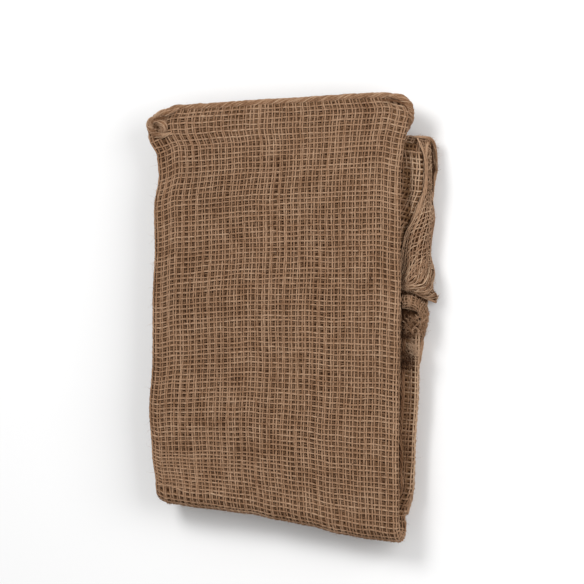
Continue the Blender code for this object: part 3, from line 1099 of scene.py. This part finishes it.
# Thicker yarns down the corner's seam side: share across, lift, tone
SEAM_SIDE = ((0.01, 0.0013, 0.10), (0.10, 0.0012, 0.06))
SEAM_SIDE_RADIUS = 0.00046

# Thick yarns down its far edge: share across, lift
FAR_EDGE = ((0.975, 0.0005), (0.992, -0.0001))
FAR_EDGE_RADIUS = 0.00058

# Thick yarns across its lower end: share along
LOWER_END = (0.985, 0.998)
LOWER_END_LIFT = 0.0006
LOWER_END_RADIUS = 0.00060

# Painted shadow: a dark yarn along a crease near its lower end: share along and across at both
# ends
CREASE_SHADOW_LINE = ((0.78, 0.48), (0.865, 0.98))
CREASE_SHADOW_LIFT = 0.0011
CREASE_SHADOW_RADIUS = 0.00045


def add_gathers(yarns, corner):
    """Strands of the corner's yarns, gathered up to its hem."""
    share = np.linspace(0, 1, 16)
    for start_u, start_v, end_u, end_v, bow in GATHERS:
        for offset in GATHER_OFFSETS:
            arc = bow * rng.uniform(0.6, 1.6) * np.sin(np.pi * share)
            first = start_v + rng.normal(0, 0.02)
            last = end_u + rng.normal(0, 0.012)
            u = start_u + (last - start_u) * share + arc + offset + wave(share, 4, 0.006)
            v = first + (end_v - first) * share + 0.5 * arc + wave(share, 4, 0.022)
            lift = GATHER_LIFT + wave(share, 5, 0.0004)
            path, normals = corner.places(np.minimum(u, 0.975), v, lift)
            size = GATHER_RADIUS * (1 + wave(share, 4, 0.2))
            yarns.add_fuzzy(path, normals, size, rng.normal(0.05, 0.30))


def add_net(yarns):
    """Pairs of thin yarns in loops across the opening of the arch."""
    for loop in NET:
        rows = [(across, down, NET_HEIGHT - NET_FALL * max(across - NET_EDGE, 0) ** 1.5)
                for across, down in loop]
        path = refine(at_pixel(rows), 0, 6)
        for _ in range(2):
            strand = path + wander(3, len(path), 4, 0.0005).T
            yarns.add(strand, UP, NET_RADIUS, rng.normal(0.16, 0.12))


def add_edges(yarns, corner):
    """Thick yarns along the corner's edges, and a dark yarn painted as the shadow of its crease.
    """
    edge = np.linspace(0.0, 0.74, 80)
    for place, lift, tone in SEAM_SIDE:
        drift = 0.030 * np.sin(edge * 60 + place * 34)
        taper = np.clip((0.62 - edge) / 0.3, 0.25, 1)
        path, normals = corner.places(edge, place * taper + drift, lift)
        yarns.add_fuzzy(path, normals, SEAM_SIDE_RADIUS, tone + wave(path, 12, 0.03))
    share = np.linspace(0, 1, 24)
    line = (np.interp(share, (0, 1), ends) for ends in zip(*CREASE_SHADOW_LINE))
    path, normals = corner.places(*line, CREASE_SHADOW_LIFT)
    taper = np.sin(np.pi * np.clip(share, 0.1, 0.9))
    yarns.add(path, normals, CREASE_SHADOW_RADIUS * taper, tone=-0.36)
    down = np.linspace(0.30, 0.99, 60)
    for place, lift in FAR_EDGE:
        path, normals = corner.places(down, place + 0.006 * np.sin(down * 70), lift)
        yarns.add_fuzzy(path, normals, FAR_EDGE_RADIUS, -0.02 + wave(path, 8, 0.05))
    for place in LOWER_END:
        path, normals = corner.places(np.full(40, place), np.linspace(0, 1, 40), LOWER_END_LIFT)
        yarns.add(path, normals, LOWER_END_RADIUS, 0.02 + wave(path, 8, 0.03))


def make_mouth_corner(material, base):
    """The drawn-out corner of the mouth with its rolled hem."""
    corner, hem = Patch(CORNER_ROWS), Patch(HEM_ROWS, -1)
    sheets = Sheets()
    # Dark sheets: painted shade under the corner's yarns, in the pocket, the slit, the groove and
    # the knot's hollow
    sheets.add(corner, 60, 20, lift=-YARN_LIFT, tone=-0.40)
    sheets.add(hem, 50, 16, lift=-YARN_LIFT, tone=-0.05)
    sheets.add(Patch(POCKET_ROWS), 30, 16, lift=-YARN_LIFT, tone=-0.55)
    sheets.add(Patch(SHADOW_SLIT_ROWS), 40, 6, tone=-0.6)
    sheets.add(Patch(SHADOW_GROOVE_ROWS), 30, 6, tone=-0.6)
    sheets.add(Patch(EAR_HOLLOW), 12, 12, tone=-0.2)
    yarns = Yarns(6)
    weave_patch(yarns, corner, spread(0.0, 0.98, 12), 35, radius=0.00045, slack=1.4,
                front=GATHERED_FRONT, reach=0.70, late=0.44, shade=0.10)
    weave_patch(yarns, hem, spread(0.02, 0.98, 7), 26, radius=0.00043, slack=2.8)
    add_gathers(yarns, corner)
    add_net(yarns)
    add_edges(yarns, corner)
    bind_roll(yarns, yarns, TOP_WINDING, TOP_EDGE)
    return [sheets.piece("mouth_corner_cloth", base), yarns.piece("mouth_corner_yarns", material)]


# Yarns round the mouth: stage, distance from the cloth's middle, tone
HEM_YARNS = ((4.990, 0.0002, 0.08), (4.9985, 0.0004, 0.04))
HEM_YARN_RADIUS = 0.0009


def make_mouth_hem(material):
    """Two thick yarns round the edge of the mouth."""
    yarns = Yarns(6)
    position = np.linspace(0, 13, 900)
    for place, offset, tone in HEM_YARNS:
        stage = np.full(900, place)
        path = on_cloth(position, stage, offset)
        outward = on_cloth(position, stage, offset + MILLIMETRE) - path
        path = path + outward * wave(path, 9, 0.12)[:, None]
        yarns.add(path, outward, HEM_YARN_RADIUS, tone + wave(path, 20, 0.03))
    return yarns.piece("mouth_hem_yarns", material)


# ---- loose fibres
FIBRES = 5600
EDGE_FIBRES = 800
FIBRE_RADIUS = 0.00008
FIBRE_POINTS = 5
FIBRE_LENGTHS = (0.0025, 0.0075)
FIBRE_RISES = (0.0002, 0.0013)
FLOOR_GAP = 0.0003

# Tufts of hairs between the folds at the right and on the knot: pixel across, pixel
# down, height, spread across and along, hairs, thickness, longest, tone
TUFTS = (
    (412.5, 352, 21, 0.0022, 0.0032, 130, 0.00012, 0.0080, 0.30),
    # The next two tufts are dark hairs as painted shade between the folds
    (406.5, 360, 22, 0.0030, 0.0042, 150, 0.00020, 0.0045, -0.42),
    (406.5, 335.5, 22.5, 0.0034, 0.0016, 60, 0.00020, 0.0035, -0.42),
    (410, 327, 22.5, 0.0036, 0.0050, 110, 0.00016, 0.0080, -0.10),
    (421, 320, 18.5, 0.0020, 0.0080, 40, 0.00013, 0.0080, 0.05),
    (157, 126.5, 39.5, 0.0036, 0.0046, 100, 0.00013, 0.0030, -0.02),
)

# Dark slivers of bark in the yarns of the front: pixel across, pixel down, height
SLIVERS = ((267, 274, 36.5), (205, 277, 36.5), (192, 290, 36.5), (371, 272, 36.5),
           (370, 279, 36.5))
SLIVER_LENGTH = 0.0022
SLIVER_RADIUS = 0.00045
LOOSE_SLIVERS = 60
LOOSE_SLIVER_RADIUS = 0.00028


def hair(hairs, place, normal, heading, length, rise, bow, radius, tone):
    """One hair from a place on a yarn, that rises off it and bows sideways."""
    share = np.linspace(0, 1, FIBRE_POINTS)[:, None]
    lift = 0.0004 + rise * np.sin(share * np.pi * 0.8)
    sideways = bow * share ** 2 * length * np.cross(normal, heading)
    path = place + share * length * heading + lift * normal + sideways
    path[:, 2] = np.maximum(path[:, 2], FLOOR_GAP)
    hairs.add(path, normal, radius * (1.15 - share[:, 0]), tone, flatness=1.0)


def add_tuft(hairs, tuft):
    """Hairs that stand up out of one small area."""
    *pixel, wide, high, count, thick, longest, tone = tuft
    for _ in range(count):
        offset = np.clip(rng.normal(0, 1, 3), -1.5, 1.5) * (wide, high, 0.0005)
        heading = rng.normal(0.1, 0.5), rng.uniform(0.3, 1.0), rng.uniform(0.0, 0.4)
        hair(hairs, at_pixel(pixel) + offset, UP, unit(np.array(heading)),
             rng.uniform(0.4, 1.0) * longest, rng.uniform(0.0005, 0.0020),
             rng.normal(0, 0.5), thick, rng.normal(tone, 0.06))


def make_fibres(material):
    """Short hairs that stand off the yarns, and slivers of bark spun into them."""
    hairs = Yarns(3)
    weight = (np.where(FRONT, 1.0, 0.8 * FLANKS) + 0.35 * BACK).ravel()
    chosen = rng.choice(weight.size, FIBRES + LOOSE_SLIVERS, p=weight / weight.sum())
    paths, ups = (np.concatenate(part) for part in zip(*FUZZ))
    edges = rng.choice(len(paths), EDGE_FIBRES)
    places = np.concatenate([UPPER[0].reshape(-1, 3)[chosen], paths[edges]])
    normals = unit(np.concatenate([UPPER[2].reshape(-1, 3)[chosen], ups[edges]]))
    heading = rng.normal(0, 1, places.shape)
    heading = unit(heading - (heading * normals).sum(1, keepdims=True) * normals)
    length = rng.uniform(*FIBRE_LENGTHS, len(places))
    length[len(chosen):] *= 0.7
    for k, fibre in enumerate(zip(places, normals, heading)):
        if k < LOOSE_SLIVERS:
            hair(hairs, *fibre, 0.3 * length[k], 0, 0, LOOSE_SLIVER_RADIUS, tone=-0.50)
            continue
        rise, bow = rng.uniform(*FIBRE_RISES), rng.normal(0, 0.45)
        hair(hairs, *fibre, length[k], rise, bow, FIBRE_RADIUS, rng.normal(0.12, 0.10))
    for place in at_pixel(SLIVERS):
        heading = np.array((0.0, 1.0, 0.0))
        hair(hairs, place, UP, heading, SLIVER_LENGTH, 0, 0.1, SLIVER_RADIUS, tone=-0.55)
    for tuft in TUFTS:
        add_tuft(hairs, tuft)
    return hairs.piece("loose_fibres", material)


# ---- studio
# Lights: name, place, size, power
LIGHTS = (
    ("key", (-0.48, 0.92, 1.50), 0.7, 17.6),
    ("fill", (1.25, 0.25, 1.0), 1.0, 15.5),
)
SURROUND = 0.51
FLOOR_HALF = 3.0
FLOOR_DROP = 0.0002
FLOOR_COLOUR = (0.86, 0.86, 0.86, 1.0)
WHITE = (1.0, 1.0, 1.0, 1.0)


def make_camera():
    """Long lens, turned from the pack's front face towards its right side."""
    aim = (IMAGE_SIZE / 2 - PICTURE_ORIGIN) / PIXELS_A_METRE * (1, -1)
    aim += SHIFT[:2] * (np.cos(CAMERA_TURN), 1)
    data = bpy.data.cameras.new("camera")
    data.sensor_width = SENSOR
    sharp_distance = CAMERA_DISTANCE - SHARP_HEIGHT * np.cos(CAMERA_TURN)
    data.lens = SENSOR * sharp_distance * PIXELS_A_METRE / IMAGE_SIZE
    camera = new_object("camera", data)
    turned = Matrix.Rotation(CAMERA_TURN, 4, "Y")
    camera.matrix_world = turned @ Matrix.Translation((*aim, CAMERA_DISTANCE))
    bpy.context.scene.camera = camera


def make_light(name, place, size, power):
    """Soft square light that points at the pack."""
    data = bpy.data.lights.new(name, "AREA")
    data.size = size
    data.energy = power
    light = new_object(name, data)
    light.location = place
    light.rotation_euler = (-Vector(place)).to_track_quat("-Z", "Y").to_euler()


def make_studio():
    """Pale floor, a key light at the upper left, a fill at the right, a pale surround."""
    half = FLOOR_HALF
    corners = [(-half, -half, 0), (half, -half, 0), (half, half, 0), (-half, half, 0)]
    floor = make_mesh("floor", corners, [(0, 1, 2, 3)])
    pale = Material("floor", 0.8)
    pale.feed(pale.shader, {"Base Color": FLOOR_COLOUR})
    floor.data.materials.append(pale.data)
    floor.location.z = -FLOOR_DROP
    for light in LIGHTS:
        make_light(*light)
    world = bpy.data.worlds.new("surround")
    world.use_nodes = True
    background = world.node_tree.nodes["Background"]
    background.inputs["Color"].default_value = WHITE
    background.inputs["Strength"].default_value = SURROUND
    bpy.context.scene.world = world
    bpy.context.scene.view_settings.view_transform = "Standard"


def main():
    yarn = yarn_material()
    cloth = make_base_cloth(base_material())
    pieces = weave("front", FRONT, 6, yarn)
    # The lower weave's yarns are darkened as painted shade beneath the upper weave
    pieces += weave("under", UNDER, 3, yarn, LOWER, UNDER_SIZE, UNDER_SHADE)
    pieces += weave("flank", FLANKS & ~FRONT, 5, yarn)
    pieces += weave("back", BACK & ~FLANKS & ~FRONT, 4, yarn)
    pieces += make_mouth_corner(yarn, cloth.data.materials[0])
    pieces.append(make_mouth_hem(yarn))
    pieces.append(make_fibres(yarn))
    make_bottom_seam(yarn)
    make_side_seam(yarn)
    make_studio()
    make_camera()


main()
